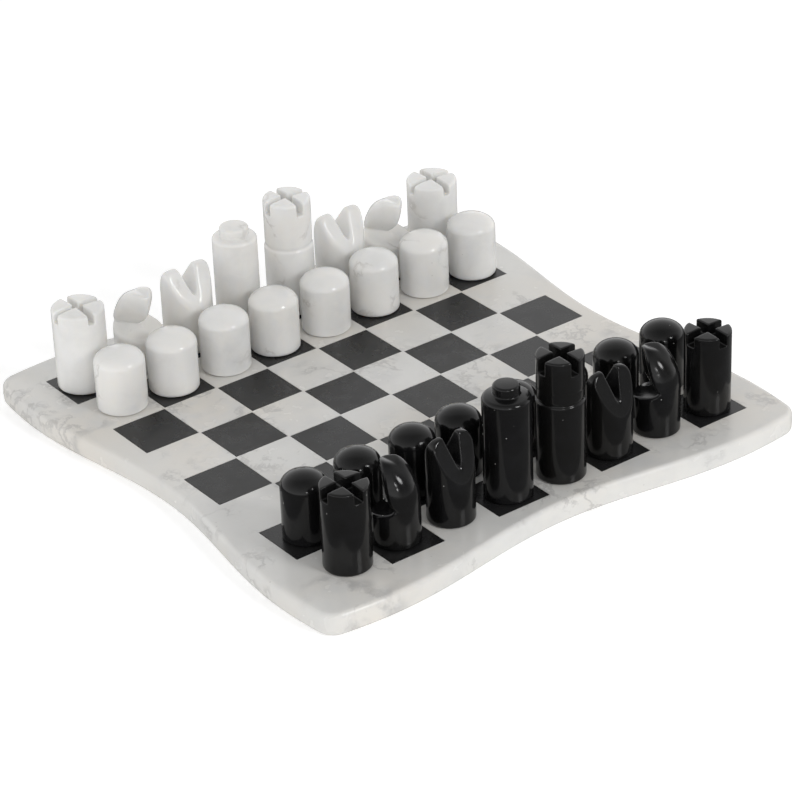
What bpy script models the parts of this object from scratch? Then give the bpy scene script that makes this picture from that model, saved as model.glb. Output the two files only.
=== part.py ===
# A chess set in two marbles: a white slab with a wavy outline and black tiles inlaid flush in its top,
# and thirty-two turned and cut pieces, each loose and standing on its square.
# Metres. The origin is under the middle of the slab, +Z is up and the white side stands at +Y.

import math

import bmesh
import bpy

# Slab
SQUARE = 0.038          # side of one square of the playing field
SQUARES = 8             # squares along a side
SLAB_THICKNESS = 0.014
WAIST_BORDER = 0.0112   # border beside the field at the middle of a side, where the edge draws in
CREST_BORDER = 0.0249   # border where the edge swells out, towards the corners
CREST_INSET = 0.0247    # how far that swelling lies from the field's corner, along the side
CORNER_RADIUS = 0.0125  # rounding of the outline's corners
EDGE_ROUNDING = 0.0035  # rounding of the slab's top and bottom edges
EDGE_STEPS = 3          # facets of that rounding
SIDE_STEPS = 8          # points of the outline from the middle of a side to its crest
CREST_STEPS = 3         # from the crest to the corner's round
CORNER_STEPS = 6        # and round the corner

# Inlaid tiles, which are joined in pairs across the corner where they touch
TILE_DEPTH = 0.005
TILE_INSET = 0.0005     # from the square's line to the tile's edge
TILE_CLEARANCE = 0.0003  # from the tile to its pocket, all round and below
NECK_LENGTH = 0.002     # side of the corner that the two tiles of a pair share

# Pieces
STANDING_GAP = 0.0003   # from the board's top to a piece's foot
FOOT_ROUNDING = 0.001   # chamfer of a piece's bottom edge
RIM_ROUNDING = 0.0012   # rounding of the flat tops
SLOT_OVERRUN = 0.004    # how far a cutter runs past what it cuts
TURN_STEPS = 24         # facets round a turned piece

# Each side's own sizes. "room" is the free margin between a piece and the edge of its square.
SIDES = {
    "white": {
        "room": 0.00335, "rook_room": 0.0027, "queen_room": 0.0048, "bishop_room": 0.0030,
        "pawn": 0.0395, "pawn_dome": 0.0084,
        "rook": 0.0546, "rook_slot": 0.0044, "rook_slot_depth": 0.0076,
        "king": 0.0784, "king_slot": 0.0044, "king_slot_depth": 0.0095, "king_collar": 0.0460,
        "queen": 0.0702, "queen_knob": 0.0184, "queen_knob_height": 0.0064,
        "bishop": 0.0551, "bishop_slope_foot": 0.0270,
        "knight": 0.0546, "knight_chest": 0.0218,
    },
    "black": {
        "room": 0.0052, "rook_room": 0.0048, "queen_room": 0.0045, "bishop_room": 0.0047,
        "knight_room": 0.0046, "king_room": 0.0043,
        "pawn": 0.0418, "pawn_dome": 0.0093,
        "rook": 0.0530, "rook_slot": 0.0058, "rook_slot_depth": 0.0076,
        "king": 0.0794, "king_slot": 0.0054, "king_slot_depth": 0.0095, "king_collar": 0.0508,
        "queen": 0.0722, "queen_knob": 0.0160, "queen_knob_height": 0.0066,
        "bishop": 0.0538, "bishop_slope_foot": 0.0265,
        "knight": 0.0555, "knight_chest": 0.0218,
    },
}
# Pieces that were cut to sizes of their own
OWN_SIZES = {
    "black_knight_1": {"knight": 0.0527, "knight_chest": 0.0175},
    "white_pawn_1": {"pawn": 0.0386},
    "white_pawn_2": {"pawn": 0.0384},
    "white_pawn_5": {"pawn": 0.0390},
    "white_pawn_8": {"pawn": 0.0403},
}
COLLAR_STEP = 0.0006    # how much slimmer a king is above its collar
KNOB_SHOULDER = 0.003   # rounding of a queen's shoulder below the knob
BISHOP_CROWN = 0.0055   # rounding of a bishop's top corners
BISHOP_RIDGE = 0.0018   # half the width of the ridge between a bishop's two slopes
NOTCH_DEPTH = 0.0195    # a bishop's V notch, down from its top
NOTCH_FLAT = 0.0012     # half the width of the notch's bottom
NOTCH_ANGLE = 14        # degrees, each wall of the notch from upright
DOME_SQUARENESS = 2.4   # how full a knight's dome is: 2 is an ellipse
KNIGHT_DOME = 0.0245    # height of that dome
NAPE_HEIGHT = 0.0400    # where the back of a knight's neck starts to lean forward
NAPE_TOP = 0.0020       # how far behind the axis it is at the top
LEDGE_RISE = 0.0054     # how much a knight's ledge rises from its chest to the throat
THROAT_DEPTH = 0.0045   # how far behind the axis the throat reaches
THROAT_HEIGHT = 0.0030  # opening of the throat above the ledge
CHIN_RISE = 0.0020      # from there up to the chin's edge
CHIN_REACH = 0.0015     # how far forward of the axis the chin stands
BROW_REACH = 0.0070     # and the front of the head at the top
EAR_GROOVE = 0.0018     # depth of the groove between a knight's ears
EAR_GROOVE_WIDTH = 0.0130

# Where each piece stands off the middle of its square, to +X and to +Y, as shares of its free room
NUDGES = {
    "white_pawns": [
        (0.6, 0.3), (0.2, -0.1), (0.45, 0), (0.3, 0.1),
        (0.6, 0), (0.9, 0.3), (1.3, 0.1), (1.25, -0.2),
    ],
    "white_row": [
        (-0.6, 0.3), (0.2, -0.3), (0, 0), (0, 0),
        (0.5, -0.4), (0.8, -0.5), (0.6, -0.6), (0.6, -0.5),
    ],
    "black_pawns": [
        (0.15, -0.2), (0, -0.2), (0.15, -0.2), (-0.7, -0.2),
        (0, -0.1), (0.1, -0.1), (0.3, -0.2), (0.1, -0.1),
    ],
    "black_row": [
        (0.15, -0.5), (-0.15, 0.1), (-0.2, -0.1), (0.4, -0.35),
        (0.23, -0.95), (0.2, -0.35), (0.15, -0.2), (0.4, -0.35),
    ],
}
ROW = ("rook", "knight", "bishop", "queen", "king", "bishop", "knight", "rook")
# Degrees by which a piece is turned from facing straight ahead
TURNS = {"black_knight_1": 8, "black_knight_2": 13}

# Colour and roughness of each stone
MARBLES = {
    "slab": ((0.78, 0.77, 0.74), 0.3),
    "tile": ((0.03, 0.03, 0.032), 0.25),
    "white": ((0.80, 0.79, 0.76), 0.2),
    "black": ((0.02, 0.02, 0.022), 0.2),
}
SMOOTH_BELOW = 35       # degrees: sharper edges than this are shown as edges

HALF_FIELD = SQUARES * SQUARE / 2
BOARD_TOP = SLAB_THICKNESS


def marble(stone):
    colour, roughness = MARBLES[stone]
    material = bpy.data.materials.new(f"{stone}_marble")
    material.use_nodes = True
    shader = material.node_tree.nodes["Principled BSDF"]
    shader.inputs["Base Color"].default_value = (*colour, 1)
    shader.inputs["Roughness"].default_value = roughness
    shader.inputs["Metallic"].default_value = 0
    return material


# ---- shapes ----

def plate(name, outline, thickness):
    """A flat outline in X and Y, made thickness thick about Z = 0, with one face on each side."""
    curve = bpy.data.curves.new(name, "CURVE")
    curve.dimensions = "2D"
    curve.fill_mode = "BOTH"
    curve.extrude = thickness / 2
    spline = curve.splines.new("POLY")
    spline.points.add(len(outline) - 1)
    for point, (x, y) in zip(spline.points, outline):
        point.co = (x, y, 0, 1)
    spline.use_cyclic_u = True
    drawn = bpy.data.objects.new(name, curve)
    bpy.context.scene.collection.objects.link(drawn)
    mesh = evaluated_mesh(drawn)
    bpy.data.objects.remove(drawn)
    bm = bmesh.new()
    bm.from_mesh(mesh)
    bmesh.ops.remove_doubles(bm, verts=bm.verts, dist=1e-6)
    for side in (1, -1):
        cap = [face for face in bm.faces if face.normal.z * side > 0.9]
        bmesh.ops.dissolve_faces(bm, faces=cap)
    bmesh.ops.recalc_face_normals(bm, faces=bm.faces)
    bm.to_mesh(mesh)
    bm.free()
    mesh.materials.clear()
    return bpy.data.objects.new(name, mesh)


def turned(name, profile):
    """A turned shape from (radius, height) points, which run down the outer side from the axis."""
    mesh = bpy.data.meshes.new(name)
    edges = [(i, i + 1) for i in range(len(profile) - 1)]
    mesh.from_pydata([(r, 0, z) for r, z in profile], edges, [])
    piece = bpy.data.objects.new(name, mesh)
    screw = piece.modifiers.new("turn", "SCREW")
    screw.steps = screw.render_steps = TURN_STEPS
    screw.use_merge_vertices = True
    screw.merge_threshold = 1e-5
    return piece


def box(name, size, centre):
    mesh = bpy.data.meshes.new(name)
    bm = bmesh.new()
    bmesh.ops.create_cube(bm, size=1)
    bmesh.ops.scale(bm, vec=size, verts=bm.verts)
    bmesh.ops.translate(bm, vec=centre, verts=bm.verts)
    bm.to_mesh(mesh)
    bm.free()
    return bpy.data.objects.new(name, mesh)


def prism_along_x(name, outline, length):
    """An outline in Y and Z, drawn out along X and centred on it."""
    prism = plate(name, outline, length)
    for vertex in prism.data.vertices:
        y, z, x = vertex.co
        vertex.co = (x, y, z)
    return prism


def prism_along_y(name, outline, length):
    """An outline in X and Z, drawn out along Y and centred on it."""
    prism = prism_along_x(name, [(-x, z) for x, z in outline], length)
    for vertex in prism.data.vertices:
        x, y, z = vertex.co
        vertex.co = (-y, x, z)
    return prism


def evaluated_mesh(obj):
    graph = bpy.context.evaluated_depsgraph_get()
    return bpy.data.meshes.new_from_object(obj.evaluated_get(graph))


def cut(piece, *steps):
    """Makes the piece's Booleans, given as (operation, cutter), and returns the finished mesh."""
    bpy.context.scene.collection.objects.link(piece)
    for operation, cutter in steps:
        bpy.context.scene.collection.objects.link(cutter)
        boolean = piece.modifiers.new(cutter.name, "BOOLEAN")
        boolean.operation = operation
        boolean.object = cutter
    bpy.context.view_layer.update()
    mesh = evaluated_mesh(piece)
    mesh.name = piece.name
    for used in (piece, *(cutter for _, cutter in steps)):
        bpy.data.objects.remove(used)
    return mesh


# ---- board ----

def edge_distance(along):
    """How far the slab's edge lies from the middle line, at a distance along the side from its middle."""
    crest_at = HALF_FIELD - CREST_INSET
    swell = (CREST_BORDER - WAIST_BORDER) / 2
    return HALF_FIELD + WAIST_BORDER + swell * (1 - math.cos(math.pi * along / crest_at))


def edge_slope(along):
    step = 1e-6
    return (edge_distance(along + step) - edge_distance(along - step)) / (2 * step)


def corner_start():
    """Where along the side the corner's round begins, so that it is tangent to both sides."""
    low, high = HALF_FIELD - CREST_INSET, HALF_FIELD + CREST_BORDER
    for _ in range(50):
        middle = (low + high) / 2
        slope = edge_slope(middle)
        lean = CORNER_RADIUS * (1 + slope) / math.hypot(1, slope)
        if middle - edge_distance(middle) + lean < 0:
            low = middle
        else:
            high = middle
    return low


def slab_outline(side_steps, crest_steps, corner_steps):
    """Points once round the slab: the side at +Y with its corner, and the same turned to each side."""
    crest_at = HALF_FIELD - CREST_INSET
    start = corner_start()
    right = [crest_at * i / side_steps for i in range(side_steps)]
    right += [crest_at + (start - crest_at) * i / crest_steps for i in range(crest_steps + 1)]
    side = [(-x, edge_distance(x)) for x in reversed(right[1:])]
    side += [(x, edge_distance(x)) for x in right]
    lean = math.atan(edge_slope(start))
    centre_x = start + CORNER_RADIUS * math.sin(lean)
    centre_y = edge_distance(start) - CORNER_RADIUS * math.cos(lean)
    first, last = math.pi / 2 + lean, -lean
    for i in range(1, corner_steps):
        angle = first + (last - first) * i / corner_steps
        x = centre_x + CORNER_RADIUS * math.cos(angle)
        side.append((x, centre_y + CORNER_RADIUS * math.sin(angle)))
    points = []
    for _ in range(4):
        points += side
        side = [(y, -x) for x, y in side]
    return points


def tile_pair_outline(grow):
    """Two squares that meet at the origin, one at -X +Y and one at +X -Y, joined where they touch."""
    near = TILE_INSET - grow
    far = SQUARE - TILE_INSET + grow
    neck = NECK_LENGTH + grow * math.sqrt(2)
    half = [(near + neck, near), (far, near), (far, far), (near, far), (near, near + neck)]
    return [(x, -y) for x, y in half] + [(-x, y) for x, y in half]


def tile_pair_places():
    """The corners where the tiles of each pair meet, along each diagonal of black squares."""
    for diagonal in range(1, 2 * SQUARES - 2, 2):
        first = max(0, diagonal - SQUARES + 1)
        last = min(SQUARES - 1, diagonal)
        for column in range(first, last, 2):
            row = diagonal - column
            yield (column + 1) * SQUARE - HALF_FIELD, row * SQUARE - HALF_FIELD


def make_board(parts, cutters, origin):
    outline = slab_outline(SIDE_STEPS, CREST_STEPS, CORNER_STEPS)
    slab = plate("board_slab", outline, SLAB_THICKNESS)
    slab.location.z = SLAB_THICKNESS / 2
    slab.data.materials.append(marble("slab"))
    slab.data.shade_smooth()
    parts.objects.link(slab)
    slab.parent = origin
    rounding = slab.modifiers.new("edge rounding", "BEVEL")
    rounding.width = EDGE_ROUNDING
    rounding.segments = EDGE_STEPS
    rounding.limit_method = "ANGLE"
    pockets = slab.modifiers.new("tile pockets", "BOOLEAN")
    pockets.operand_type = "COLLECTION"
    pockets.collection = cutters

    pocket_height = TILE_DEPTH + TILE_CLEARANCE + SLOT_OVERRUN
    pocket = plate("pocket", tile_pair_outline(TILE_CLEARANCE), pocket_height).data
    tiles = plate("tile_pair", tile_pair_outline(0), TILE_DEPTH).data
    tiles.materials.append(marble("tile"))
    for number, (x, y) in enumerate(tile_pair_places(), 1):
        cutter = bpy.data.objects.new(f"pocket_{number:02d}", pocket)
        cutter.location = (x, y, BOARD_TOP + SLOT_OVERRUN - pocket_height / 2)
        cutter.hide_render = True
        cutter.display_type = "WIRE"
        cutters.objects.link(cutter)
        pair = bpy.data.objects.new(f"tile_pair_{number:02d}", tiles)
        pair.location = (x, y, BOARD_TOP - TILE_DEPTH / 2)
        pair.parent = slab
        pair.matrix_parent_inverse.translation = -slab.location
        parts.objects.link(pair)


# ---- pieces ----

def foot(radius):
    """The end of a profile: the wall's foot, its small chamfer and the flat underside."""
    return [(radius, FOOT_ROUNDING), (radius - FOOT_ROUNDING, 0), (0, 0)]


def rounded_top(radius, height, rounding, steps=2):
    """The start of a profile: a flat top and the round down to the wall."""
    points = [(0, height)]
    for i in range(steps + 1):
        angle = math.pi / 2 * i / steps
        out = radius - rounding + rounding * math.sin(angle)
        points.append((out, height - rounding + rounding * math.cos(angle)))
    return points


def dome(radius, height, rise, squareness=2.0, steps=4):
    """The start of a profile: a dome that rises over the wall and ends at height."""
    power = 2 / squareness
    points = []
    for i in range(steps + 1):
        angle = math.pi / 2 * i / steps
        up = rise * max(0, math.cos(angle)) ** power
        points.append((radius * math.sin(angle) ** power, height - rise + up))
    return points


def cross(width, depth, radius, height):
    """Two slots at right angles, cut down from the top, as Boolean steps."""
    reach = 2 * (radius + SLOT_OVERRUN)
    tall = depth + SLOT_OVERRUN
    middle = (0, 0, height - depth + tall / 2)
    return (
        ("DIFFERENCE", box("slot_x", (reach, width, tall), middle)),
        ("DIFFERENCE", box("slot_y", (width, reach, tall), middle)),
    )


def pawn(size, radius):
    return cut(turned("pawn", dome(radius, size["pawn"], size["pawn_dome"]) + foot(radius)))


def rook(size, radius):
    blank = turned("rook", rounded_top(radius, size["rook"], RIM_ROUNDING) + foot(radius))
    return cut(blank, *cross(size["rook_slot"], size["rook_slot_depth"], radius, size["rook"]))


def king(size, radius):
    slim = radius - COLLAR_STEP
    collar = [(slim, size["king_collar"]), (radius, size["king_collar"] - COLLAR_STEP)]
    blank = turned("king", rounded_top(slim, size["king"], RIM_ROUNDING) + collar + foot(radius))
    return cut(blank, *cross(size["king_slot"], size["king_slot_depth"], slim, size["king"]))


def queen(size, radius):
    knob = size["queen_knob"] / 2
    shoulder = rounded_top(radius, size["queen"] - size["queen_knob_height"], KNOB_SHOULDER)[1:]
    profile = rounded_top(knob, size["queen"], RIM_ROUNDING) + [(knob, shoulder[0][1])] + shoulder
    return cut(turned("queen", profile + foot(radius)))


def bishop(size, radius):
    """A cylinder cut to a steep ridge by two slopes, and split down from the top by a V notch."""
    top = size["bishop"]
    wide = radius + SLOT_OVERRUN
    slope = (top - size["bishop_slope_foot"]) / (radius - BISHOP_RIDGE)
    low = top - (wide - BISHOP_RIDGE) * slope
    gable = [
        (-wide, -SLOT_OVERRUN), (wide, -SLOT_OVERRUN), (wide, low), (BISHOP_RIDGE, top),
        (BISHOP_RIDGE / 2, top + SLOT_OVERRUN), (-BISHOP_RIDGE / 2, top + SLOT_OVERRUN),
        (-BISHOP_RIDGE, top), (-wide, low),
    ]
    bottom = top - NOTCH_DEPTH
    over = top + SLOT_OVERRUN
    mouth = NOTCH_FLAT + (over - bottom) * math.tan(math.radians(NOTCH_ANGLE))
    notch = [(-NOTCH_FLAT, bottom), (NOTCH_FLAT, bottom), (mouth, over), (-mouth, over)]
    crown_steps = 3
    return cut(
        turned("bishop", rounded_top(radius, top, BISHOP_CROWN, crown_steps) + foot(radius)),
        ("INTERSECT", prism_along_x("slopes", gable, 2 * wide)),
        ("DIFFERENCE", prism_along_y("notch", notch, 2 * wide)),
    )


def knight(size, radius):
    """A domed cylinder that faces +Y, with a scoop under its chin and a groove between its ears."""
    top = size["knight"]
    wide = radius + SLOT_OVERRUN
    over = top + SLOT_OVERRUN
    chest = size["knight_chest"]
    throat = chest + LEDGE_RISE
    throat_top = throat + THROAT_HEIGHT
    chin = throat_top + CHIN_RISE
    lean = (BROW_REACH - CHIN_REACH) / (top - chin)
    scoop = [
        (wide, chest), (-THROAT_DEPTH, throat), (-THROAT_DEPTH, throat_top),
        (CHIN_REACH, chin), (CHIN_REACH + lean * (over - chin), over), (wide, over),
    ]
    nape_slope = (top - NAPE_HEIGHT) / (radius - NAPE_TOP)
    nape = [
        (-wide, NAPE_HEIGHT - SLOT_OVERRUN * nape_slope), (-wide, over),
        (-NAPE_TOP + SLOT_OVERRUN / nape_slope, over),
    ]
    half = EAR_GROOVE_WIDTH / 2
    spread = half * (EAR_GROOVE + SLOT_OVERRUN) / EAR_GROOVE
    groove = [(0, top - EAR_GROOVE), (spread, over), (-spread, over)]
    return cut(
        turned("knight", dome(radius, top, KNIGHT_DOME, DOME_SQUARENESS) + foot(radius)),
        ("DIFFERENCE", prism_along_x("scoop", scoop, 2 * wide)),
        ("DIFFERENCE", prism_along_x("nape", nape, 2 * wide)),
        ("DIFFERENCE", prism_along_y("groove", groove, 2 * wide)),
    )


SHAPES = {
    "pawn": pawn, "rook": rook, "king": king, "queen": queen, "bishop": bishop, "knight": knight,
}


def free_room(size, kind):
    """The margin between a piece and the edge of its square."""
    return size.get(f"{kind}_room", size["room"])


def piece_mesh(name, kind, size, material):
    mesh = SHAPES[kind](size, SQUARE / 2 - free_room(size, kind))
    mesh.name = name
    mesh.materials.append(material)
    mesh.shade_smooth()
    mesh.set_sharp_from_angle(angle=math.radians(SMOOTH_BELOW))
    return mesh


def make_pieces(parts, origin):
    for side, size in SIDES.items():
        material = marble(side)
        ahead = -1 if side == "white" else 1
        straight = 180 if side == "white" else 0
        meshes = {kind: piece_mesh(f"{side}_{kind}", kind, size, material) for kind in SHAPES}
        ranks = ((ROW, "row", SQUARES - 1), (("pawn",) * SQUARES, "pawns", SQUARES - 2))
        for kinds, rank, squares_back in ranks:
            made = {}
            for column, kind in enumerate(kinds):
                made[kind] = made.get(kind, 0) + 1
                name = f"{side}_{kind}" if kinds.count(kind) == 1 else f"{side}_{kind}_{made[kind]}"
                mesh = meshes[kind]
                if name in OWN_SIZES:
                    mesh = piece_mesh(name, kind, {**size, **OWN_SIZES[name]}, material)
                room = free_room(size, kind)
                nudge_x, nudge_y = NUDGES[f"{side}_{rank}"][column]
                piece = bpy.data.objects.new(name, mesh)
                piece.location = (
                    (column + 0.5) * SQUARE - HALF_FIELD + nudge_x * room,
                    -ahead * ((squares_back + 0.5) * SQUARE - HALF_FIELD) + nudge_y * room,
                    BOARD_TOP + STANDING_GAP,
                )
                piece.rotation_euler.z = math.radians(straight + TURNS.get(name, 0))
                piece.parent = origin
                parts.objects.link(piece)


def main():
    for obj in list(bpy.data.objects):
        bpy.data.objects.remove(obj)
    parts = bpy.data.collections.new("chess_set")
    cutters = bpy.data.collections.new("cutters")
    for collection in (parts, cutters):
        bpy.context.scene.collection.children.link(collection)
    origin = bpy.data.objects.new("origin", None)
    parts.objects.link(origin)
    make_board(parts, cutters, origin)
    make_pieces(parts, origin)


main()
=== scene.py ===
import math
import bmesh
import bpy
import numpy as np
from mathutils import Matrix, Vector, noise


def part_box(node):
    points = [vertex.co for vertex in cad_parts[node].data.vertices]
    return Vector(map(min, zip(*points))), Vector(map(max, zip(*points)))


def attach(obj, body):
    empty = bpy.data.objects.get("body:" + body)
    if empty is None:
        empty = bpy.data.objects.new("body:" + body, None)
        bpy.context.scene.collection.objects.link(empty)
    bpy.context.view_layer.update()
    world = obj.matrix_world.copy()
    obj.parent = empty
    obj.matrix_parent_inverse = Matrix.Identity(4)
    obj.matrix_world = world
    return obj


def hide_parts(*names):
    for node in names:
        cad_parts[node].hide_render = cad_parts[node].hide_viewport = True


# A chess set in two marbles: a white slab with black tiles let into it and thirty-two loose stone pieces.
# Metres, in the frame of the solid model. The white side stands at +Y.
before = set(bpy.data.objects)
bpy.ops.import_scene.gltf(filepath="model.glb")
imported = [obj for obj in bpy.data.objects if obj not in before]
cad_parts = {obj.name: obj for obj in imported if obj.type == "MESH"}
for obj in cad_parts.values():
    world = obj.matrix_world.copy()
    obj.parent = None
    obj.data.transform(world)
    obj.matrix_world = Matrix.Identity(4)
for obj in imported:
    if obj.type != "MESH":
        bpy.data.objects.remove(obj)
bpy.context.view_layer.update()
print("frame loaded:", len(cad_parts), "solids")

# what every marble here has in common; the spans are noise values between which one tone turns into another
stone = {
    "slowDetail": 2.0, "fineDetail": 3.0, "cloudDetail": 5.0, "veinDetail": 7.0, "crispness": 0.6,
    "tintSpan": (0.35, 0.65), "cloudSpan": (0.42, 0.72), "polishSpan": (0.3, 0.7),
    "speckCore": 0.6,         # the share of a pinhole's width that is at full strength
    "speckRoughness": 0.3,    # how much rougher a pinhole is
    "innerTint": (1.0, 0.9, 0.75),
}


def addNode(tree, kind, inputs=None, **settings):
    node = tree.nodes.new(kind)
    for name, value in settings.items():
        setattr(node, name, value)
    for name, value in (inputs or {}).items():
        if isinstance(value, bpy.types.NodeSocket):
            tree.links.new(value, node.inputs[name])
        else:
            node.inputs[name].default_value = value
    return node


def noiseField(tree, place, scale, detail, roughness=0.55):
    inputs = {"Vector": place, "Scale": scale, "Detail": detail, "Roughness": roughness}
    return addNode(tree, "ShaderNodeTexNoise", inputs)


def stretched(tree, value, low, high, toLow=0.0, toHigh=1.0):
    inputs = {"Value": value, "From Min": low, "From Max": high, "To Min": toLow, "To Max": toHigh}
    node = addNode(tree, "ShaderNodeMapRange", inputs, interpolation_type="SMOOTHSTEP")
    return node.outputs["Result"]


def mathOf(tree, operation, first, second):
    node = addNode(tree, "ShaderNodeMath", {0: first, 1: second}, operation=operation)
    return node.outputs[0]


def mixed(tree, factor, first, second):
    node = addNode(tree, "ShaderNodeMix", {"Factor": factor}, data_type="RGBA")
    for socket, value in ((node.inputs[6], first), (node.inputs[7], second)):
        if isinstance(value, bpy.types.NodeSocket):
            tree.links.new(value, socket)
        else:
            socket.default_value = (*value, 1)
    return node.outputs[2]


def bentPlace(tree, place, scale, reach):
    # the stone's own coordinates, pushed about by a slow noise, so that clouds and veins wander
    push = noiseField(tree, place, scale, stone["slowDetail"]).outputs["Color"]
    centred = addNode(tree, "ShaderNodeVectorMath", {0: push, 1: (0.5, 0.5, 0.5)}, operation="SUBTRACT")
    sized = addNode(tree, "ShaderNodeVectorMath", {0: centred.outputs[0], "Scale": reach}, operation="SCALE")
    bent = addNode(tree, "ShaderNodeVectorMath", {0: place, 1: sized.outputs[0]}, operation="ADD")
    return bent.outputs[0]


def veinField(tree, place, scale, width, maskScale, maskFrom, maskTo):
    # thin where the noise passes its middle value, and only inside some patches
    wave = noiseField(tree, place, scale, stone["veinDetail"], stone["crispness"]).outputs["Fac"]
    away = mathOf(tree, "ABSOLUTE", mathOf(tree, "SUBTRACT", wave, 0.5), 0.0)
    line = stretched(tree, away, 0.0, width, 1.0, 0.0)
    patch = noiseField(tree, place, maskScale, stone["slowDetail"]).outputs["Fac"]
    return mathOf(tree, "MULTIPLY", line, stretched(tree, patch, maskFrom, maskTo))


def speckField(tree, place, scale, size, share):
    # pinholes: small dots, in some of the cells only
    cells = addNode(tree, "ShaderNodeTexVoronoi", {"Vector": place, "Scale": scale})
    dot = stretched(tree, cells.outputs["Distance"], size * stone["speckCore"], size, 1.0, 0.0)
    parts = addNode(tree, "ShaderNodeSeparateColor", {"Color": cells.outputs["Color"]})
    chosen = mathOf(tree, "LESS_THAN", parts.outputs[0], share)
    return mathOf(tree, "MULTIPLY", dot, chosen)


def makeMarble(name, look):
    material = bpy.data.materials.new(name)
    material.use_nodes = True
    tree = material.node_tree
    shader = tree.nodes["Principled BSDF"]
    place = addNode(tree, "ShaderNodeTexCoord").outputs["Object"]
    bent = bentPlace(tree, place, look["bendScale"], look["bendReach"])

    cloud = noiseField(tree, bent, look["cloudScale"], stone["cloudDetail"], stone["crispness"])
    tint = noiseField(tree, place, look["tintScale"], stone["slowDetail"])
    warmth = stretched(tree, tint.outputs["Fac"], *stone["tintSpan"])
    cloudiness = stretched(tree, cloud.outputs["Fac"], *stone["cloudSpan"])
    colour = mixed(tree, cloudiness, mixed(tree, warmth, look["light"], look["warm"]), look["cloud"])
    for vein in look["veins"]:
        line = veinField(tree, bent, vein["scale"], vein["width"], vein["maskScale"], *vein["mask"])
        strength = mathOf(tree, "MULTIPLY", line, vein["strength"])
        colour = mixed(tree, strength, colour, vein["colour"])
    speck = speckField(tree, place, look["speckScale"], look["speckSize"], look["speckShare"])
    colour = mixed(tree, mathOf(tree, "MULTIPLY", speck, look["speckStrength"]), colour, look["speck"])
    tree.links.new(colour, shader.inputs["Base Color"])

    polish = noiseField(tree, place, look["polishScale"], stone["fineDetail"]).outputs["Fac"]
    wall = stretched(tree, polish, *stone["polishSpan"], *look["roughness"])
    pits = mathOf(tree, "MULTIPLY", speck, stone["speckRoughness"])
    tree.links.new(mathOf(tree, "ADD", wall, pits), shader.inputs["Roughness"])

    grain = noiseField(tree, place, look["grainScale"], stone["fineDetail"]).outputs["Fac"]
    relief = mathOf(tree, "SUBTRACT", mathOf(tree, "MULTIPLY", grain, look["grainShare"]), speck)
    bump = addNode(tree, "ShaderNodeBump", {
        "Height": relief, "Strength": look["bumpStrength"], "Distance": look["bumpDepth"],
    })
    tree.links.new(bump.outputs["Normal"], shader.inputs["Normal"])

    shader.inputs["IOR"].default_value = look["ior"]
    shader.inputs["Subsurface Weight"].default_value = look["subsurface"]
    shader.inputs["Subsurface Radius"].default_value = stone["innerTint"]
    shader.inputs["Subsurface Scale"].default_value = look["subsurfaceDepth"]
    return material


whiteSlabLook = {
    "light": (0.725, 0.72, 0.70), "warm": (0.74, 0.71, 0.66), "cloud": (0.675, 0.67, 0.655),
    "bendScale": 20.0, "bendReach": 0.02, "cloudScale": 34.0, "tintScale": 9.0,
    "veins": [
        {"scale": 16.0, "width": 0.07, "maskScale": 17.0, "mask": (0.53, 0.68),
         "colour": (0.40, 0.395, 0.39), "strength": 0.65},
        {"scale": 55.0, "width": 0.05, "maskScale": 24.0, "mask": (0.52, 0.64),
         "colour": (0.40, 0.39, 0.38), "strength": 0.5},
    ],
    "speck": (0.30, 0.29, 0.28), "speckScale": 130.0, "speckSize": 0.07, "speckShare": 0.25,
    "speckStrength": 0.5,
    "polishScale": 60.0, "roughness": (0.17, 0.28), "ior": 1.48,
    "grainScale": 900.0, "grainShare": 0.25, "bumpStrength": 0.25, "bumpDepth": 0.0003,
    "subsurface": 0.12, "subsurfaceDepth": 0.0025,
}
whitePieceLook = dict(
    whiteSlabLook,
    light=(0.84, 0.837, 0.825), warm=(0.845, 0.83, 0.80), cloud=(0.765, 0.762, 0.75),
    bendScale=34.0, bendReach=0.02, cloudScale=30.0, tintScale=22.0,
    veins=[
        {"scale": 22.0, "width": 0.03, "maskScale": 34.0, "mask": (0.56, 0.68),
         "colour": (0.50, 0.48, 0.45), "strength": 0.5},
    ],
    speckScale=170.0, speckShare=0.10, roughness=(0.14, 0.25), bumpDepth=0.0001,
    subsurface=0.4, subsurfaceDepth=0.004,
)
blackTileLook = {
    "light": (0.012, 0.012, 0.013), "warm": (0.014, 0.014, 0.014), "cloud": (0.018, 0.018, 0.018),
    "bendScale": 30.0, "bendReach": 0.03, "cloudScale": 60.0, "tintScale": 20.0,
    "veins": [
        {"scale": 40.0, "width": 0.02, "maskScale": 25.0, "mask": (0.58, 0.70),
         "colour": (0.05, 0.05, 0.05), "strength": 0.4},
    ],
    "speck": (0.10, 0.10, 0.10), "speckScale": 420.0, "speckSize": 0.10, "speckShare": 0.2,
    "speckStrength": 0.5,
    "polishScale": 90.0, "roughness": (0.24, 0.34), "ior": 1.42,
    "grainScale": 1400.0, "grainShare": 0.3, "bumpStrength": 0.2, "bumpDepth": 0.0002,
    "subsurface": 0.0, "subsurfaceDepth": 0.001,
}
blackPieceLook = dict(
    blackTileLook,
    light=(0.0045, 0.0045, 0.0048), warm=(0.006, 0.0058, 0.0055), cloud=(0.008, 0.008, 0.0085),
    speck=(0.45, 0.45, 0.43), speckScale=260.0, speckSize=0.10, speckShare=0.07, speckStrength=0.9,
    veins=[], roughness=(0.10, 0.18), ior=1.38, bumpStrength=0.12,
)
marbles = {
    "slab_marble": makeMarble("slab_marble_look", whiteSlabLook),
    "white_marble": makeMarble("white_marble_look", whitePieceLook),
    "tile_marble": makeMarble("tile_marble_look", blackTileLook),
    "black_marble": makeMarble("black_marble_look", blackPieceLook),
}
print("marbles made:", ", ".join(marbles))


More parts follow.
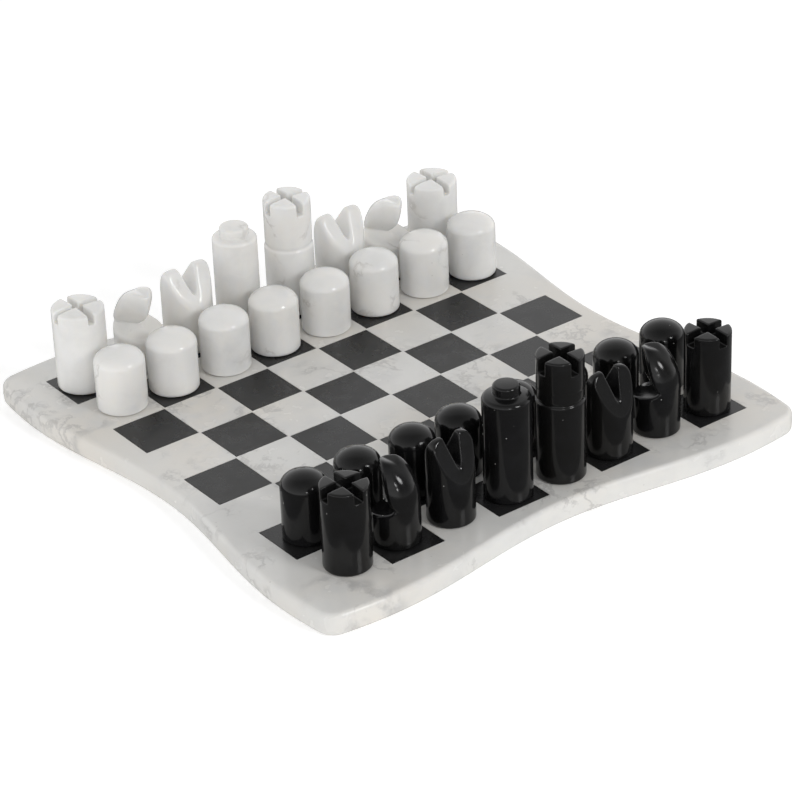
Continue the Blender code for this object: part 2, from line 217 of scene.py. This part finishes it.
# degrees between two faces from which their edge stays sharp; a kind not named here is smooth all over
sharpFrom = {"slab": 25, "tile": 40, "queen": 40}


def setPiece(name, mesh, kind, slot, body, nodes):
    mesh.materials.clear()
    mesh.materials.append(marbles[slot])
    mesh.shade_smooth()
    if kind in sharpFrom:
        mesh.set_sharp_from_angle(angle=math.radians(sharpFrom[kind]))
    piece = bpy.data.objects.new(name, mesh)
    bpy.context.scene.collection.objects.link(piece)
    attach(piece, body)
    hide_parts(*nodes)


def meshOf(name, points, faces):
    mesh = bpy.data.meshes.new(name)
    mesh.from_pydata(np.asarray(points).tolist(), [], np.asarray(faces).tolist())
    mesh.update()
    return mesh


boardShape = {
    "tileInset": 0.0005,      # from the square's line to the tile's edge
    "squaresAcross": 8,
    "waistBorder": 0.0112,    # border at the middle of a side
    "crestInset": 0.0247,     # how far the widest place lies from the field's corner
    "cornerRadius": 0.0125,
    "topRounding": 0.0034,
    "bottomRounding": 0.0028,
    "bulge": 0.0003,          # how much the side swells between its two rounded edges
    "rimFlat": 0.0015,        # flat strip inside each rounded edge
    "sidePoints": 30, "crestPoints": 9, "cornerPoints": 16, "roundingPoints": 8,
    "pocketDepth": 0.0051,
    "pocketGap": 0.00012,
    "tileDepth": 0.0046,
    "tileEdge": 0.00018,      # small worn edge of a tile
    "tileSkew": 0.00012,      # how far a hand-cut corner is off
    "tileSink": 0.00004,      # a tile's top below the slab's
    "seed": 8,                # of the tiles' corners
    "pairReach": 0.75,        # in squares: a tile this near the middle of a pair is one of its two
}
slabLow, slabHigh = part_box("board_slab")
pairLow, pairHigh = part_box("tile_pair_02")
square = (pairHigh.x - pairLow.x) / 2 + boardShape["tileInset"]
halfField = square * boardShape["squaresAcross"] / 2
crestBorder = slabHigh.x - halfField


def edgeDistance(along):
    crestAt = halfField - boardShape["crestInset"]
    swell = (crestBorder - boardShape["waistBorder"]) / 2
    return halfField + boardShape["waistBorder"] + swell * (1 - math.cos(math.pi * along / crestAt))


def edgeSlope(along, step=1e-6):
    return (edgeDistance(along + step) - edgeDistance(along - step)) / (2 * step)


def cornerStart():
    # where the corner's round is tangent to both of its sides
    low, high = halfField - boardShape["crestInset"], halfField + crestBorder
    halvings = 50
    for _ in range(halvings):
        middle = (low + high) / 2
        slope = edgeSlope(middle)
        lean = boardShape["cornerRadius"] * (1 + slope) / math.hypot(1, slope)
        if middle - edgeDistance(middle) + lean < 0:
            low = middle
        else:
            high = middle
    return low


def slabOutline():
    # points once round the slab, each with the direction from which its rim is inset; that direction isn't
    # mirrored on the first half of a side, so the rounded edges are up to 0.2 mm narrower there
    crestAt = halfField - boardShape["crestInset"]
    start = cornerStart()
    radius = boardShape["cornerRadius"]
    steps = boardShape["sidePoints"]
    right = [crestAt * i / steps for i in range(steps)]
    steps = boardShape["crestPoints"]
    right += [crestAt + (start - crestAt) * i / steps for i in range(steps + 1)]
    half = [(x, edgeDistance(x), math.pi / 2 + math.atan(edgeSlope(x))) for x in right]
    side = [(-x, y, angle) for x, y, angle in reversed(half[1:])] + half
    lean = math.atan(edgeSlope(start))
    centreX = start + radius * math.sin(lean)
    centreY = edgeDistance(start) - radius * math.cos(lean)
    first, last = math.pi / 2 + lean, -lean
    for i in range(1, boardShape["cornerPoints"]):
        angle = first + (last - first) * i / boardShape["cornerPoints"]
        side.append((centreX + radius * math.cos(angle), centreY + radius * math.sin(angle), angle))
    outline = []
    for quarter in range(4):
        outline += side
        side = [(y, -x, angle - math.pi / 2) for x, y, angle in side]
    return outline


def rimProfile():
    # (inset, height) from the flat top round to the flat underside
    top, bottom = boardShape["topRounding"], boardShape["bottomRounding"]
    bulge, steps = boardShape["bulge"], boardShape["roundingPoints"]
    thickness = slabHigh.z - slabLow.z
    profile = [(top + boardShape["rimFlat"], thickness)]
    for i in range(steps + 1):
        angle = math.pi / 2 * i / steps
        inset = bulge + (top - bulge) * (1 - math.sin(angle))
        profile.append((inset, thickness - top * (1 - math.cos(angle))))
    profile.append((0.0, (thickness - top + bottom) / 2))
    for i in range(steps + 1):
        angle = math.pi / 2 * (1 - i / steps)
        inset = bulge + (bottom - bulge) * (1 - math.sin(angle))
        profile.append((inset, bottom * (1 - math.cos(angle))))
    profile.append((bottom + boardShape["rimFlat"], 0.0))
    return profile


def makeSlab():
    outline = slabOutline()
    bm = bmesh.new()
    rings = []
    for inset, height in rimProfile():
        ring = []
        for x, y, angle in outline:
            spot = (x - inset * math.cos(angle), y - inset * math.sin(angle), slabLow.z + height)
            ring.append(bm.verts.new(spot))
        rings.append(ring)
    for upper, lower in zip(rings, rings[1:]):
        for i in range(len(outline)):
            j = (i + 1) % len(outline)
            bm.faces.new((upper[i], upper[j], lower[j], lower[i]))
    bm.faces.new(rings[0])
    bm.faces.new(rings[-1])
    bmesh.ops.recalc_face_normals(bm, faces=bm.faces)
    mesh = bpy.data.meshes.new("slab")
    bm.to_mesh(mesh)
    bm.free()
    return mesh


def blackSquares():
    for row in range(boardShape["squaresAcross"]):
        for column in range(boardShape["squaresAcross"]):
            if (row + column) % 2 == 0:
                yield column, row


def squareCentre(column, row):
    # row 0 is the white back rank, at +Y
    return Vector((column + 0.5, -row - 0.5, 0)) * square + Vector((-halfField, halfField, slabHigh.z))


def cutPockets(mesh):
    blank = bpy.data.objects.new("slab_blank", mesh)
    bpy.context.scene.collection.objects.link(blank)
    bm = bmesh.new()
    wide = square - 2 * boardShape["tileInset"] + 2 * boardShape["pocketGap"]
    deep = boardShape["pocketDepth"]
    for column, row in blackSquares():
        made = bmesh.ops.create_cube(bm, size=1)["verts"]
        bmesh.ops.scale(bm, vec=(wide, wide, 2 * deep), verts=made)
        bmesh.ops.translate(bm, vec=squareCentre(column, row), verts=made)
    cutterMesh = bpy.data.meshes.new("pockets")
    bm.to_mesh(cutterMesh)
    bm.free()
    cutter = bpy.data.objects.new("pockets", cutterMesh)
    bpy.context.scene.collection.objects.link(cutter)
    boolean = blank.modifiers.new("pockets", "BOOLEAN")
    boolean.operation = "DIFFERENCE"
    boolean.object = cutter
    graph = bpy.context.evaluated_depsgraph_get()
    result = bpy.data.meshes.new_from_object(blank.evaluated_get(graph))
    for used in (blank, cutter):
        bpy.data.objects.remove(used)
    return result


def makeTile(column, row, chance):
    half = square / 2 - boardShape["tileInset"]
    deep = boardShape["tileDepth"]
    bm = bmesh.new()
    made = bmesh.ops.create_cube(bm, size=2)["verts"]
    for vertex in made:
        vertex.co.x *= half - boardShape["tileSkew"] * chance.random()
        vertex.co.y *= half - boardShape["tileSkew"] * chance.random()
        vertex.co.z = deep / 2 * vertex.co.z - deep / 2 - boardShape["tileSink"]
    bmesh.ops.bevel(bm, geom=bm.edges[:], offset=boardShape["tileEdge"], segments=2, affect="EDGES")
    bmesh.ops.translate(bm, vec=squareCentre(column, row), verts=bm.verts)
    mesh = bpy.data.meshes.new("tile")
    bm.to_mesh(mesh)
    bm.free()
    return mesh


def tileNode(column, row):
    # the solid pair of tiles that this tile is one half of
    centre = squareCentre(column, row)
    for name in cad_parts:
        if not name.startswith("tile_pair"):
            continue
        low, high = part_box(name)
        offset = centre - (low + high) / 2
        inside = max(abs(offset.x), abs(offset.y)) < boardShape["pairReach"] * square
        if inside and offset.x * offset.y < 0:
            return name
    return None


setPiece("slab", cutPockets(makeSlab()), "slab", "slab_marble", "board", ["board_slab"])
chance = np.random.default_rng(boardShape["seed"])
for column, row in blackSquares():
    tile = makeTile(column, row, chance)
    tileName = f"tile_{column + 1}_{row + 1}"
    setPiece(tileName, tile, "tile", "tile_marble", "board", [tileNode(column, row)])
print("board made")


turning = {
    "steps": 96,           # round the axis
    "weld": 0.000001,
    "wallFrom": 1.6,       # in foot roundings: where the wall's evenly spaced points end
    "footPoints": 5,
    "undersideRing": 0.5,  # of the radius
}


def turnedMesh(name, profile):
    # the profile's (radius, height) points run down the outer side, from the top of the axis to the foot
    bm = bmesh.new()
    points = [bm.verts.new((r, 0, z)) for r, z in profile]
    edges = [bm.edges.new(pair) for pair in zip(points, points[1:])]
    bmesh.ops.spin(
        bm, geom=points + edges, cent=(0, 0, 0), axis=(0, 0, 1), angle=2 * math.pi, steps=turning["steps"],
    )
    bmesh.ops.remove_doubles(bm, verts=bm.verts, dist=turning["weld"])
    bmesh.ops.recalc_face_normals(bm, faces=bm.faces)
    mesh = bpy.data.meshes.new(name)
    bm.to_mesh(mesh)
    bm.free()
    return mesh


def arcPoints(centre, radius, first, last, steps):
    # angles in degrees, 0 outward and 90 up
    for i in range(steps + 1):
        angle = math.radians(first + (last - first) * i / steps)
        yield centre[0] + radius * math.cos(angle), centre[1] + radius * math.sin(angle)


def wallAndFoot(radius, high, rounding, steps):
    # the wall, the rounded edge below it and the flat underside
    low = rounding * turning["wallFrom"]
    for i in range(1, steps + 1):
        yield radius, high + (low - high) * i / steps
    yield from arcPoints((radius - rounding, rounding), rounding, 0, -90, turning["footPoints"])
    yield radius * turning["undersideRing"], 0.0
    yield 0.0, 0.0


pawnShape = {
    "white": {"dome": 0.0084, "foot": 0.0016},
    "black": {"dome": 0.0093, "foot": 0.0009},
    "domePoints": 22, "wallPoints": 6,
}


def pawnMesh(side, radius, height):
    shape = pawnShape[side]
    steps = pawnShape["domePoints"]
    profile = []
    for i in range(steps + 1):
        angle = math.pi / 2 * i / steps
        profile.append((radius * math.sin(angle), height - shape["dome"] * (1 - math.cos(angle))))
    profile += wallAndFoot(radius, height - shape["dome"], shape["foot"], pawnShape["wallPoints"])
    return turnedMesh("pawn", profile)


queenShape = {
    "white": {"knob": 0.0092, "knobHeight": 0.0064, "knobRounding": 0.0018, "fillet": 0.0006,
              "shoulder": 0.0025, "fall": 0.0005, "foot": 0.0014},
    "black": {"knob": 0.0080, "knobHeight": 0.0066, "knobRounding": 0.0016, "fillet": 0.0008,
              "shoulder": 0.0029, "fall": 0.0007, "foot": 0.0009},
    "crownRise": 0.0003,                         # the knob's top is a little higher in its middle
    "crownRing": 0.5, "crownRingDrop": 0.0001,   # a ring halfway out on that top
    "slopeInset": 0.0004, "slopeShare": 0.8,     # how the shoulder's slope ends above its rounded edge
    "edgeFrom": 84,                              # degrees up, where that edge starts
    "knobPoints": 7, "filletPoints": 5, "edgePoints": 8, "wallPoints": 9,
}


def queenMesh(side, radius, height):
    shape, common = queenShape[side], queenShape
    rounding, fillet, edge = shape["knobRounding"], shape["fillet"], shape["shoulder"]
    flat = shape["knob"] - rounding
    crown = height - common["crownRise"]
    shoulderTop = height - shape["knobHeight"]
    low = shoulderTop - shape["fall"] - edge
    profile = [(0.0, height), (flat * common["crownRing"], height - common["crownRingDrop"])]
    profile += arcPoints((flat, crown - rounding), rounding, 90, 0, common["knobPoints"])
    inside = (shape["knob"] + fillet, shoulderTop + fillet)
    profile += arcPoints(inside, fillet, 180, 270, common["filletPoints"])
    slopeEnd = radius - edge - common["slopeInset"]
    profile.append((slopeEnd, shoulderTop - shape["fall"] * common["slopeShare"]))
    profile += arcPoints((radius - edge, low), edge, common["edgeFrom"], 0, common["edgePoints"])
    profile += wallAndFoot(radius, low, shape["foot"], common["wallPoints"])
    return turnedMesh("queen", profile)


def blendMax(first, second, width):
    # the inside of both, with the edge between them rounded
    near = np.maximum(width - np.abs(first - second), 0)
    return np.maximum(first, second) + near * near / (4 * width)


def blendMin(first, second, width):
    return -blendMax(-first, -second, width)


skin = {
    "coarse": 0.0026,    # height of a cell on the plain wall
    "margin": 1.5,       # in cells: how far outside the stone the grid starts
    "footTo": 3.5,       # in cells: how high the fine rows at the foot reach
    "pulls": 4, "pullStep": 0.00002, "leastSlope": 0.04,
}


def heightSteps(height, detailFrom, fine):
    # fine rows at the foot and from detailFrom up, coarse ones between
    low = np.arange(-skin["margin"] * fine, skin["footTo"] * fine, fine)
    middle = np.arange(low[-1] + skin["coarse"], detailFrom, skin["coarse"])
    high = np.arange(detailFrom, height + 2 * fine, fine)
    return np.concatenate([low, middle, high])


def pulledTo(solid, points):
    # moves points straight onto the surface, where solid is 0
    step = skin["pullStep"]
    for _ in range(skin["pulls"]):
        slope = np.empty_like(points)
        for axis in range(3):
            shift = np.zeros(3)
            shift[axis] = step
            slope[:, axis] = (solid(*(points + shift).T) - solid(*(points - shift).T)) / (2 * step)
        length = np.maximum((slope * slope).sum(1), skin["leastSlope"])
        points = points - (solid(*points.T) / length)[:, None] * slope
    return points


def skinMesh(name, solid, reach, heights, cell):
    # one point in each cell that the surface passes through, joined across the cells' edges
    margin = skin["margin"] * cell
    across = np.arange(-reach - margin, reach + margin + cell, cell)
    axes = (across, across, heights)
    values = solid(*np.meshgrid(*axes, indexing="ij"))
    cells = tuple(n - 1 for n in values.shape)
    total = np.zeros((math.prod(cells), 3))
    count = np.zeros(math.prod(cells))
    quads = []
    for axis in range(3):
        others = [a for a in range(3) if a != axis]
        near = np.moveaxis(np.moveaxis(values, axis, 0)[:-1], 0, axis)
        far = np.moveaxis(np.moveaxis(values, axis, 0)[1:], 0, axis)
        found = np.argwhere((near < 0) != (far < 0))
        start, end = near[tuple(found.T)], far[tuple(found.T)]
        spots = np.stack([axes[k][found[:, k]] for k in range(3)], 1)
        spots[:, axis] += start / (start - end) * np.diff(axes[axis])[found[:, axis]]
        around = []
        for first, second in ((0, 0), (1, 0), (1, 1), (0, 1)):
            corner = found.copy()
            corner[:, others[0]] -= first
            corner[:, others[1]] -= second
            index = np.ravel_multi_index(tuple(corner.T), cells)
            np.add.at(total, index, spots)
            np.add.at(count, index, 1)
            around.append(index)
        quad = np.stack(around, 1)
        turn = (start < 0) == (axis == 1)
        quad[turn] = quad[turn][:, ::-1]
        quads.append(quad)
    quads = np.concatenate(quads)
    used, faces = np.unique(quads, return_inverse=True)
    points = pulledTo(solid, total[used] / count[used, None])
    return meshOf(name, points, faces.reshape(quads.shape))


def roundBlock(x, y, z, radius, height, rim, foot, fall=0.0):
    # an upright cylinder with rounded edges, whose top falls a little towards its rim
    out = np.hypot(x, y)
    body = blendMax(out - radius, z - height + fall * (out / radius) ** 2, rim)
    return blendMax(body, -z, foot)


def crossSlots(x, y, z, half, floor, fillet):
    oneWay = blendMax(np.abs(x) - half, floor - z, fillet)
    otherWay = blendMax(np.abs(y) - half, floor - z, fillet)
    return np.minimum(oneWay, otherWay)


rookShape = {
    "white": {"slot": 0.0044, "slotDepth": 0.0076, "rim": 0.0024, "fall": 0.0010, "edge": 0.0010,
              "fillet": 0.0012, "foot": 0.0022, "cell": 0.00066},
    "black": {"slot": 0.0058, "slotDepth": 0.0076, "rim": 0.0012, "fall": 0.0006, "edge": 0.0008,
              "fillet": 0.0008, "foot": 0.0012, "cell": 0.00058},
    "fineBelow": 0.0015,    # fine rows start this far below the slots' floor
}


def rookMesh(side, radius, height):
    shape = rookShape[side]
    floor = height - shape["slotDepth"]

    def solid(x, y, z):
        body = roundBlock(x, y, z, radius, height, shape["rim"], shape["foot"], shape["fall"])
        slots = crossSlots(x, y, z, shape["slot"] / 2, floor, shape["fillet"])
        return blendMax(body, -slots, shape["edge"])

    heights = heightSteps(height, floor - rookShape["fineBelow"], shape["cell"])
    return skinMesh("rook", solid, radius, heights, shape["cell"])


kingShape = {
    "white": {"slot": 0.0048, "rim": 0.0024, "fall": 0.0010, "edge": 0.0010, "fillet": 0.0012,
              "foot": 0.0022, "cell": 0.00066,
              "collar": 0.0460, "collarEdge": 0.0022, "groove": 0.0004, "ring": 0.0},
    "black": {"slot": 0.0054, "rim": 0.0012, "fall": 0.0006, "edge": 0.0008, "fillet": 0.0008,
              "foot": 0.0012, "cell": 0.00058,
              "collar": 0.0508, "collarEdge": 0.0016, "groove": 0.0005, "ring": 0.0075},
    "slotDepth": 0.0095,
    "slimmer": 0.0006,                                # above the collar
    "grooveRise": 0.0006, "grooveSpread": 0.0009,     # a soft groove just above the collar
    "ringDepth": 0.00018, "ringSpread": 0.0006,       # a faint scored line higher up, at "ring"
    "fineBelow": 0.0015,                              # fine rows start this far below the slots' floor
    "collarRows": (-0.002, 0.0095), "rowGap": 0.001,  # and run from below the collar to above the ring
}


def kingMesh(side, radius, height):
    shape, common = kingShape[side], kingShape
    floor = height - common["slotDepth"]
    slim = radius - common["slimmer"]
    collar = shape["collar"]

    def solid(x, y, z):
        out = np.hypot(x, y)
        lower = blendMax(out - radius, z - collar, shape["collarEdge"])
        upper = blendMax(out - slim, z - height + shape["fall"] * (out / radius) ** 2, shape["rim"])
        dip = (z - collar - common["grooveRise"]) / common["grooveSpread"]
        upper = upper + shape["groove"] * np.exp(-dip * dip)
        if shape["ring"]:
            mark = (z - collar - shape["ring"]) / common["ringSpread"]
            upper = upper + common["ringDepth"] * np.exp(-mark * mark)
        body = blendMax(np.minimum(lower, upper), -z, shape["foot"])
        slots = crossSlots(x, y, z, shape["slot"] / 2, floor, shape["fillet"])
        return blendMax(body, -slots, shape["edge"])

    heights = heightSteps(height, floor - common["fineBelow"], shape["cell"])
    first, last = (collar + offset for offset in common["collarRows"])
    gap = common["rowGap"]
    plain = heights[(heights < first - gap) | (heights > last + gap)]
    heights = np.sort(np.concatenate([plain, np.arange(first, last, shape["cell"])]))
    return skinMesh("king", solid, radius, heights, shape["cell"])


bishopShape = {
    "white": {"slopeFoot": 0.0315, "ridge": 0.0020, "ridgeRound": 0.0034, "slopeEdge": 0.0022,
              "notch": 0.0195, "notchAngle": 15, "notchRound": 0.0060, "edge": 0.0018,
              "crown": 0.0052, "foot": 0.0022, "cell": 0.00072},
    "black": {"slopeFoot": 0.0265, "ridge": 0.0018, "ridgeRound": 0.0016, "slopeEdge": 0.0010,
              "notch": 0.0195, "notchAngle": 14, "notchRound": 0.0044, "edge": 0.0010,
              "crown": 0.0080, "foot": 0.0012, "cell": 0.00058},
    "fineBelow": 0.002,    # fine rows start this far below the slopes
}


def bishopMesh(side, radius, height):
    shape = bishopShape[side]
    lean = math.atan((radius - shape["ridge"]) / (height - shape["slopeFoot"]))
    opening = math.radians(shape["notchAngle"])
    # the V's point lies below the notch's bottom, because its rounding lifts it
    point = height - shape["notch"] - shape["notchRound"] / 8 / math.sin(opening)

    def solid(x, y, z):
        body = roundBlock(x, y, z, radius, height, shape["crown"], shape["foot"])
        fall = (z - height) * math.sin(lean)
        front = (y - shape["ridge"]) * math.cos(lean) + fall
        back = (-y - shape["ridge"]) * math.cos(lean) + fall
        body = blendMax(body, blendMax(front, back, shape["ridgeRound"]), shape["slopeEdge"])
        rise = (z - point) * math.sin(opening)
        right = x * math.cos(opening) - rise
        left = -x * math.cos(opening) - rise
        return blendMax(body, -blendMax(right, left, shape["notchRound"]), shape["edge"])

    heights = heightSteps(height, shape["slopeFoot"] - bishopShape["fineBelow"], shape["cell"])
    return skinMesh("bishop", solid, radius, heights, shape["cell"])


knightShape = {
    "white": {"edge": 0.0034, "foot": 0.0022, "cell": 0.00066, "crease": 0.0008, "crownForward": 0.0080,
              "keelRound": (0.0014, 0.0036), "reach": 0.0080, "foreheadSwell": 0.0125,
              "chinRound": 0.0018, "earEdge": 0.0016},
    "black": {"edge": 0.0020, "foot": 0.0012, "cell": 0.00058, "crease": 0.0006, "crownForward": 0.0066,
              "keelRound": (0.0006, 0.0030), "reach": 0.0068, "foreheadSwell": 0.0084,
              "chinRound": 0.0012, "earEdge": 0.0010},
    "domeRise": 0.0250, "domeEdge": 0.0010,
    "squareness": (1.85, 2.7),      # of the dome, along the piece and across it
    "atAxis": 1e-8,                 # keeps the dome's own axis from being divided by nothing
    "chestHeight": 0.0233, "ledgeSlope": 0.16,
    "throatRise": 0.0030, "throatReach": 0.0022,    # how the ledge sweeps up to the throat
    "wedge": 1.33,                  # how fast the two cheeks fall back from the keel
    "throatHeight": 0.0310,
    "foreheadOver": 0.0105,         # the height over which the forehead swells
    "swellBelow": 0.002,            # how far below the throat that swell goes on
    "underChin": 0.0026, "chinSlope": 1.6, "chinDrop": 0.0010,
    "earGroove": 0.0020, "earWidth": 0.0065,
    "fineBelow": 0.002,             # fine rows start this far below the chest's ledge
}


def knightMesh(side, radius, height, lower=0.0):
    # the ledge and the throat of one knight lie lower than the others'
    shape, common = knightShape[side], knightShape
    domeFrom = height - common["domeRise"]
    along, across = common["squareness"]
    wedge, slope = common["wedge"], common["chinSlope"]
    lowKeel, highKeel = shape["keelRound"]
    throat = common["throatHeight"] - lower
    chest = common["chestHeight"] - lower

    def domed(x, y, z):
        # the head's top lies forward of the axis and falls back to the wall behind
        up = np.clip((z - domeFrom) / common["domeRise"], 0, None)
        forward = shape["crownForward"] * np.minimum(up * 2, 1)
        behind = np.minimum(y - forward, 0) * radius / (radius + forward)
        sideways = x * x / (x * x + behind * behind + common["atAxis"])
        power = along + (across - along) * sideways
        out = np.hypot(x, behind) / radius
        return ((out ** power + up ** power) ** (1 / power) - 1) * radius

    def solid(x, y, z):
        body = blendMax(np.hypot(x, y) - radius, domed(x, y, z), common["domeEdge"])
        body = blendMax(body, -z, shape["foot"])
        # the face is a wedge with a rounded keel, and its chin hangs a little over the chest's ledge
        share = np.clip((z - throat) / (height - throat), 0, 1)
        keel = lowKeel + (highKeel - lowKeel) * share
        front = y + wedge * np.sqrt(x * x + keel * keel)
        above = np.maximum(z - throat, -common["swellBelow"])
        reach = shape["reach"] + shape["foreheadSwell"] * (1 - np.exp(-above / common["foreheadOver"]))
        face = (front - reach) / math.hypot(1, wedge)
        under = shape["reach"] - common["underChin"]
        chin = (front - under - slope * (z - throat + common["chinDrop"])) / math.hypot(1, wedge, slope)
        head = blendMax(face, chin, shape["chinRound"])
        before = np.maximum(front - under, 0) / math.hypot(1, wedge)
        ledge = z - chest - common["ledgeSlope"] * (radius - y)
        ledge = ledge - common["throatRise"] * np.exp(-before / common["throatReach"])
        carved = blendMin(ledge, head, shape["crease"])
        body = blendMax(body, carved, shape["edge"])
        groove = height - common["earGroove"] + common["earGroove"] * np.abs(x) / common["earWidth"] - z
        return blendMax(body, -groove, shape["earEdge"])

    heights = heightSteps(height, chest - common["fineBelow"], shape["cell"])
    return skinMesh("knight", solid, radius, heights, shape["cell"])


pieceMakers = {
    "pawn": pawnMesh, "rook": rookMesh, "knight": knightMesh,
    "bishop": bishopMesh, "queen": queenMesh, "king": kingMesh,
}
# degrees off straight ahead
pieceTurns = {"black_knight_1": 8, "black_knight_2": 13}
ownShapes = {"black_knight_1": {"lower": 0.0043}}
# how far and how often a hand-ground wall wavers, and the radius inside which it doesn't
handWork = {"depth": 0.00005, "size": 0.012, "core": 0.0001}


def wavered(points, centre):
    # sinks the wall a little, here more and there less, as grinding by hand leaves it
    moved = points.copy()
    for i, point in enumerate(points):
        amount = (noise.noise(Vector(point) / handWork["size"]) - 1) / 2 * handWork["depth"]
        away = point - centre
        away[2] = 0
        length = math.hypot(away[0], away[1])
        if length > handWork["core"]:
            moved[i] += away / length * amount
    return moved


def standPiece(name):
    side, kind = name.split("_")[:2]
    low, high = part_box(name)
    # the box of a piece that stands straight gives the true radius
    straight = [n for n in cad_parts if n.startswith(f"{side}_{kind}") and n not in pieceTurns]
    straightLow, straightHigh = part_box(straight[0] if straight else name)
    radius = (straightHigh.x - straightLow.x) / 2
    mesh = pieceMakers[kind](side, radius, high.z - low.z, **ownShapes.get(name, {}))
    turn = math.radians(pieceTurns.get(name, 0) + (180 if side == "white" else 0))
    points = np.array([v.co for v in mesh.vertices])
    c, s = math.cos(turn), math.sin(turn)
    rotation = np.array([[c, s, 0], [-s, c, 0], [0, 0, 1]])
    centre = np.array([(low.x + high.x) / 2, (low.y + high.y) / 2, low.z])
    points = wavered(points @ rotation + centre, centre)
    mesh.vertices.foreach_set("co", points.astype(np.float32).ravel())
    mesh.update()
    setPiece(f"{name}_stone", mesh, kind, f"{side}_marble", name, [name])


for name in sorted(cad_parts):
    if name.startswith(("white_", "black_")):
        standPiece(name)
print("pieces made")


roomLook = {
    "floorReach": 4.0, "floorSides": 96, "floorDrop": 0.0004,
    "floorColour": (0.93, 0.93, 0.93), "floorGlow": 0.34, "floorRoughness": 0.9, "floorSheen": 0.1,
    "floorMirrored": (0.25, 0.25, 0.25),    # what polished stone sees of it, as if the table were small
    "overhead": 0.33, "horizon": 1.42,      # the studio's glow, brighter all round than above
    # soft panels: bearing and height in degrees, how wide they are seen, and their strength
    "panels": [
        {"bearing": 36, "height": 34, "wide": 42, "soft": 8, "strength": 0.16},
    ],
    # a darker stretch of the room, low down beside the camera
    "shade": {"bearing": 163, "height": 8, "wide": 32, "soft": 20, "strength": 0.85},
    "key": {"bearing": -157, "height": 20, "far": 1.8, "size": 0.22, "watts": 1.6},
    "fill": {"bearing": 166, "height": 33, "far": 2.2, "size": 0.6, "watts": 14.0},
    "aim": (0, 0, 0.02),    # what both lamps point at
}


def facingDirection(bearing, height):
    # bearing 0 is +Y and 90 is +X
    b, h = math.radians(bearing), math.radians(height)
    return Vector((math.sin(b) * math.cos(h), math.cos(b) * math.cos(h), math.sin(h)))


def makeFloor():
    low = slabLow.z - roomLook["floorDrop"]
    bm = bmesh.new()
    bmesh.ops.create_circle(bm, cap_ends=True, radius=roomLook["floorReach"], segments=roomLook["floorSides"])
    bmesh.ops.translate(bm, vec=(0, 0, low), verts=bm.verts)
    mesh = bpy.data.meshes.new("floor")
    bm.to_mesh(mesh)
    bm.free()
    floor = bpy.data.objects.new("floor", mesh)
    bpy.context.scene.collection.objects.link(floor)
    paper = bpy.data.materials.new("floor_paper")
    paper.use_nodes = True
    tree = paper.node_tree
    shader = tree.nodes["Principled BSDF"]
    glossy = addNode(tree, "ShaderNodeLightPath").outputs["Is Glossy Ray"]
    colour = mixed(tree, glossy, roomLook["floorColour"], roomLook["floorMirrored"])
    tree.links.new(colour, shader.inputs["Base Color"])
    shader.inputs["Roughness"].default_value = roomLook["floorRoughness"]
    shader.inputs["Specular IOR Level"].default_value = roomLook["floorSheen"]
    shader.inputs["Emission Color"].default_value = (1, 1, 1, 1)
    seen = mathOf(tree, "SUBTRACT", 1.0, glossy)
    glow = mathOf(tree, "MULTIPLY", seen, roomLook["floorGlow"])
    tree.links.new(glow, shader.inputs["Emission Strength"])
    mesh.materials.append(paper)


def spotGlow(tree, ray, panel):
    # full strength inside a cone about the panel's middle, none outside it
    middle = tuple(facingDirection(panel["bearing"], panel["height"]))
    facing = addNode(tree, "ShaderNodeVectorMath", {0: ray, 1: middle}, operation="DOT_PRODUCT")
    outer = math.cos(math.radians(panel["wide"] + panel["soft"]))
    inner = math.cos(math.radians(panel["wide"] - panel["soft"]))
    return stretched(tree, facing.outputs["Value"], outer, inner, 0.0, panel["strength"])


def makeSky():
    world = bpy.data.worlds.new("studio")
    bpy.context.scene.world = world
    world.use_nodes = True
    tree = world.node_tree
    ray = addNode(tree, "ShaderNodeTexCoord").outputs["Generated"]
    total = 0.0
    for panel in roomLook["panels"]:
        total = mathOf(tree, "MAXIMUM", total, spotGlow(tree, ray, panel))
    total = mathOf(tree, "SUBTRACT", total, spotGlow(tree, ray, roomLook["shade"]))
    up = addNode(tree, "ShaderNodeSeparateXYZ", {"Vector": ray}).outputs["Z"]
    glow = addNode(tree, "ShaderNodeMapRange", {
        "Value": up, "To Min": roomLook["horizon"], "To Max": roomLook["overhead"],
    }).outputs["Result"]
    strength = mathOf(tree, "ADD", total, glow)
    background = tree.nodes["Background"]
    background.inputs["Color"].default_value = (1, 1, 1, 1)
    tree.links.new(strength, background.inputs["Strength"])


def makeLamp(name):
    look = roomLook[name]
    light = bpy.data.lights.new(name, "AREA")
    light.shape = "DISK"
    light.size = look["size"]
    light.energy = look["watts"]
    lamp = bpy.data.objects.new(name, light)
    lamp.location = facingDirection(look["bearing"], look["height"]) * look["far"]
    lamp.rotation_euler = (Vector(roomLook["aim"]) - lamp.location).to_track_quat("-Z", "Y").to_euler()
    bpy.context.scene.collection.objects.link(lamp)


shotCamera = {
    "place": (-0.98956, -1.36807, 0.97988),
    "turn": (60.101, 2.011, -37.214),
    "lens": 144.58, "sensor": 36.0, "clipEnd": 20.0,
}


def makeCamera():
    data = bpy.data.cameras.new("camera")
    data.lens = shotCamera["lens"]
    data.sensor_width = shotCamera["sensor"]
    data.clip_end = shotCamera["clipEnd"]
    camera = bpy.data.objects.new("camera", data)
    camera.location = shotCamera["place"]
    camera.rotation_euler = [math.radians(a) for a in shotCamera["turn"]]
    bpy.context.scene.collection.objects.link(camera)
    bpy.context.scene.camera = camera


makeFloor()
makeSky()
makeLamp("key")
makeLamp("fill")
makeCamera()
bpy.context.scene.view_settings.view_transform = "Standard"
print("room, light and camera made")
